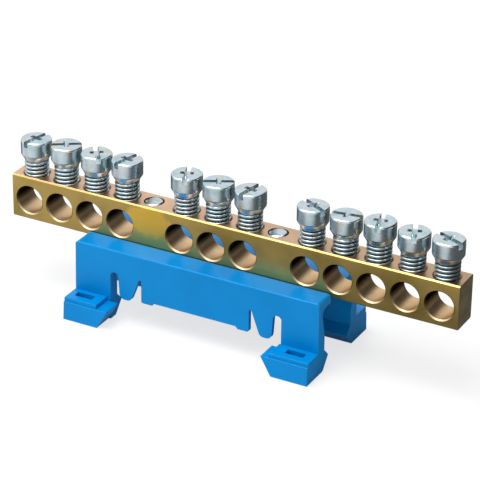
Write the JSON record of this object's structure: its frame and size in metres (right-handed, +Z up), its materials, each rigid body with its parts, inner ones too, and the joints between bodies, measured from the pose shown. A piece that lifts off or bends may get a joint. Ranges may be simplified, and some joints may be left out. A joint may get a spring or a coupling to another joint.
{
  "type": "earth terminal bar",
  "caption": "Drilled brass bar with a clamp screw over each wire entry, on a blue moulded holder that snaps onto a 35 mm rail.",
  "frame": {"origin": "under the middle of the bar, on the level of the feet's undersides", "axes": "+X along the bar to its right end, +Y to the back, +Z up"},
  "size_m": [0.0948, 0.0254, 0.0307],
  "materials": {
    "brass": "drawn brass, dull from handling, bright where drilled",
    "zinc_plated_steel": "bright zinc plate with a faint blue passivation",
    "blue_plastic": "moulded polyamide, satin"
  },
  "bodies": {
    "bar_and_holder": {"bar": "brass", "rail_holder": "blue_plastic", "fixing_screw_left": "zinc_plated_steel", "fixing_screw_right": "zinc_plated_steel"},
    "clamp_screw_1": {"clamp_screw_1": "zinc_plated_steel"},
    "clamp_screw_2": {"clamp_screw_2": "zinc_plated_steel"},
    "clamp_screw_3": {"clamp_screw_3": "zinc_plated_steel"},
    "clamp_screw_4": {"clamp_screw_4": "zinc_plated_steel"},
    "clamp_screw_5": {"clamp_screw_5": "zinc_plated_steel"},
    "clamp_screw_6": {"clamp_screw_6": "zinc_plated_steel"},
    "clamp_screw_7": {"clamp_screw_7": "zinc_plated_steel"},
    "clamp_screw_8": {"clamp_screw_8": "zinc_plated_steel"},
    "clamp_screw_9": {"clamp_screw_9": "zinc_plated_steel"},
    "clamp_screw_10": {"clamp_screw_10": "zinc_plated_steel"},
    "clamp_screw_11": {"clamp_screw_11": "zinc_plated_steel"},
    "clamp_screw_12": {"clamp_screw_12": "zinc_plated_steel"}
  },
  "joints": [
    {"name": "clamp_1", "type": "slide", "parent": "bar_and_holder", "child": "clamp_screw_1", "axis": [0, 0, -1], "range_m": [0, 0.00345]},
    {"name": "clamp_2", "type": "slide", "parent": "bar_and_holder", "child": "clamp_screw_2", "axis": [0, 0, -1], "range_m": [0, 0.0037]},
    {"name": "clamp_3", "type": "slide", "parent": "bar_and_holder", "child": "clamp_screw_3", "axis": [0, 0, -1], "range_m": [0, 0.00355]},
    {"name": "clamp_4", "type": "slide", "parent": "bar_and_holder", "child": "clamp_screw_4", "axis": [0, 0, -1], "range_m": [0, 0.00375]},
    {"name": "clamp_5", "type": "slide", "parent": "bar_and_holder", "child": "clamp_screw_5", "axis": [0, 0, -1], "range_m": [0, 0.00385]},
    {"name": "clamp_6", "type": "slide", "parent": "bar_and_holder", "child": "clamp_screw_6", "axis": [0, 0, -1], "range_m": [0, 0.00375]},
    {"name": "clamp_7", "type": "slide", "parent": "bar_and_holder", "child": "clamp_screw_7", "axis": [0, 0, -1], "range_m": [0, 0.00375]},
    {"name": "clamp_8", "type": "slide", "parent": "bar_and_holder", "child": "clamp_screw_8", "axis": [0, 0, -1], "range_m": [0, 0.00365]},
    {"name": "clamp_9", "type": "slide", "parent": "bar_and_holder", "child": "clamp_screw_9", "axis": [0, 0, -1], "range_m": [0, 0.00345]},
    {"name": "clamp_10", "type": "slide", "parent": "bar_and_holder", "child": "clamp_screw_10", "axis": [0, 0, -1], "range_m": [0, 0.0039]},
    {"name": "clamp_11", "type": "slide", "parent": "bar_and_holder", "child": "clamp_screw_11", "axis": [0, 0, -1], "range_m": [0, 0.00345]},
    {"name": "clamp_12", "type": "slide", "parent": "bar_and_holder", "child": "clamp_screw_12", "axis": [0, 0, -1], "range_m": [0, 0.0037]}
  ]
}
